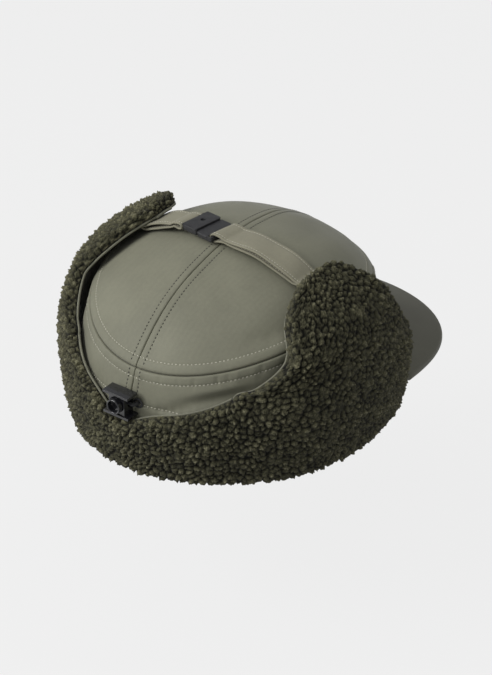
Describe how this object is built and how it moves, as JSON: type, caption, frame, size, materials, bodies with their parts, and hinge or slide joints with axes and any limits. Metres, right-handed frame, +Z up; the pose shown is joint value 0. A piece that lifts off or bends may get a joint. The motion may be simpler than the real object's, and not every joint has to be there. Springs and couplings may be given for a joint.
{
  "type": "trapper hat",
  "caption": "Low-crowned trapper hat with a short visor, pile-lined ear and neck flaps turned up and buckled over the crown, and a cord lock at the back.",
  "frame": {"origin": "the middle of the whole hat seen from above, at the level of the table that its lower edge rests on", "axes": "+Z up, -Y towards the visor's rim, +Y towards the back of the head, +X to the wearer's left"},
  "size_m": [0.22, 0.2813, 0.1192],
  "materials": {
    "shell_cloth": "fine twill with a slight sheen",
    "visor_cloth": "fine twill, pressed smooth",
    "lining_cloth": "brushed lining",
    "sherpa_pile": "curled pile",
    "strap_webbing": "flat woven tape",
    "elastic_cord": "braided elastic",
    "stiffener_board": "moulded board",
    "matte_plastic": "fine matte moulding",
    "gloss_plastic": "polished moulding",
    "spring_steel": "drawn wire"
  },
  "bodies": {
    "crown": {"crown_top_left": "shell_cloth", "crown_top_right": "shell_cloth", "crown_side_left": "shell_cloth", "crown_side_right": "shell_cloth", "crown_front_panel": "shell_cloth", "crown_lining": "lining_cloth", "sweatband": "lining_cloth", "drawcord_channel": "shell_cloth", "drawcord": "elastic_cord", "drawcord_eyelet_right": "matte_plastic", "drawcord_eyelet_left": "matte_plastic", "band_hem": "sherpa_pile", "visor_top_cover": "visor_cloth", "visor_stiffener": "stiffener_board", "visor_under_cover": "visor_cloth"},
    "right_ear_flap": {"right_ear_flap_shell": "shell_cloth", "right_ear_flap_sherpa": "sherpa_pile", "right_strap_sewn_end": "strap_webbing"},
    "left_ear_flap": {"left_ear_flap_shell": "shell_cloth", "left_ear_flap_sherpa": "sherpa_pile", "left_strap_sewn_end": "strap_webbing"},
    "neck_flap": {"neck_flap_shell": "shell_cloth", "neck_flap_sherpa": "sherpa_pile"},
    "right_strap": {"right_strap_lower": "strap_webbing", "right_strap_upper": "strap_webbing", "buckle_catch": "matte_plastic"},
    "left_strap": {"left_strap_lower": "strap_webbing", "left_strap_upper": "strap_webbing", "buckle_plate": "matte_plastic"},
    "cord_lock": {"cord_lock_body": "gloss_plastic", "cord_lock_spring": "spring_steel"},
    "lock_button": {"cord_lock_button": "gloss_plastic"}
  },
  "joints": [
    {"name": "right_flap_fold", "type": "hinge", "parent": "crown", "child": "right_ear_flap", "pos_m": [-0.0975, 0.044, 0.006], "axis": [-0.153, -0.9882, 0], "range_deg": [0, 160]},
    {"name": "left_flap_fold", "type": "hinge", "parent": "crown", "child": "left_ear_flap", "pos_m": [0.0975, 0.044, 0.006], "axis": [-0.153, 0.9882, 0], "range_deg": [0, 160]},
    {"name": "neck_flap_fold", "type": "hinge", "parent": "crown", "child": "neck_flap", "pos_m": [0, 0.1325, 0.006], "axis": [-1, 0, 0], "range_deg": [0, 160]},
    {"name": "right_strap_lift", "type": "hinge", "parent": "right_ear_flap", "child": "right_strap", "pos_m": [-0.0572, 0.032, 0.1055], "axis": [0, -1, 0], "range_deg": [0, 75]},
    {"name": "left_strap_lift", "type": "hinge", "parent": "left_ear_flap", "child": "left_strap", "pos_m": [0.0572, 0.032, 0.1055], "axis": [0, 1, 0], "range_deg": [0, 75]},
    {"name": "cord_lock_slide", "type": "slide", "parent": "crown", "child": "cord_lock", "axis": [1, 0, 0], "range_m": [-0.0015, 0.0015]},
    {"name": "cord_lock_press", "type": "slide", "parent": "cord_lock", "child": "lock_button", "axis": [0, -1, 0], "range_m": [0, 0.0012], "stiffness_N_per_m": 300, "springref_m": -0.001}
  ]
}
